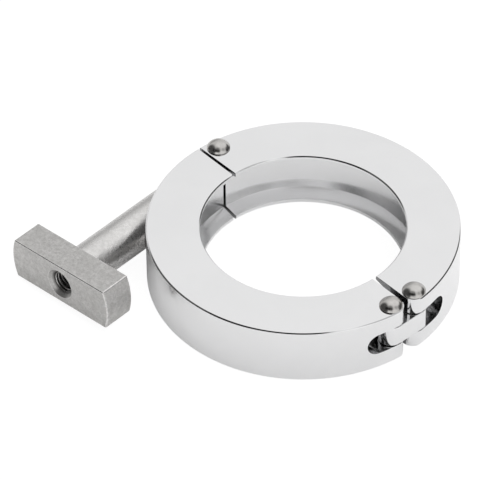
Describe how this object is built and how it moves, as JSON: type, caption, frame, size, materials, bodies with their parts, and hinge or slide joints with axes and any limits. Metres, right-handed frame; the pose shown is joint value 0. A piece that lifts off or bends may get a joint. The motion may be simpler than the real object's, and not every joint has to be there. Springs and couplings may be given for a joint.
{
  "type": "kf flange clamp",
  "caption": "Split aluminium ring clamp for small vacuum flanges, hinged by a pinned link on one side and closed by a swing bolt with a T-nut on the other.",
  "frame": {"origin": "on the ring's axis, at the ring's mid-height", "axes": "+Z along the ring's axis, out of the face that shows the pins' domed heads; +X towards the hinge; +Y towards the half that carries the swing bolt"},
  "size_m": [0.0822, 0.0888, 0.0167],
  "materials": {
    "polished_aluminium": "polished, with bright smooth faces",
    "link_aluminium": "drawn flat bar, polished",
    "pin_stainless": "bright rivet stainless",
    "bolt_stainless": "turned stainless",
    "cast_stainless": "cast and tumbled, satin with a fine mottle"
  },
  "bodies": {
    "rear": {"rear_half": "polished_aluminium", "rear_link_pin": "pin_stainless", "bolt_pin": "pin_stainless"},
    "link": {"hinge_link": "link_aluminium"},
    "front": {"front_half": "polished_aluminium", "front_link_pin": "pin_stainless"},
    "bolt": {"swing_bolt": "bolt_stainless"},
    "washer": {"thrust_washer": "bolt_stainless"},
    "nut": {"t_nut": "cast_stainless"}
  },
  "joints": [
    {"name": "bolt_swing", "type": "hinge", "parent": "rear", "child": "bolt", "pos_m": [-0.0339, 0.0036, 0], "axis": [0, 0, -1], "range_deg": [0, 155]},
    {"name": "link_swing", "type": "hinge", "parent": "rear", "child": "link", "pos_m": [0.0339, 0.0036, 0], "axis": [0, 0, 1], "range_deg": [0, 130]},
    {"name": "front_swing", "type": "hinge", "parent": "link", "child": "front", "pos_m": [0.0339, -0.0036, 0], "axis": [0, 0, 1], "range_deg": [0, 130]},
    {"name": "washer_travel", "type": "slide", "parent": "bolt", "child": "washer", "axis": [0.0872, -0.9962, 0], "range_m": [-0.007, 0.016]},
    {"name": "nut_turn", "type": "hinge", "parent": "washer", "child": "nut", "pos_m": [-0.0339, 0.0036, 0], "axis": [0.0872, -0.9962, 0], "range_deg": [-2520, 5760]}
  ],
  "couplings": [
    {"joint": "link_swing", "follows": "bolt_swing", "ratio": 0.12},
    {"joint": "front_swing", "follows": "bolt_swing", "ratio": 0.12},
    {"joint": "washer_travel", "follows": "nut_turn", "m_per_rad": 0.00015915}
  ]
}
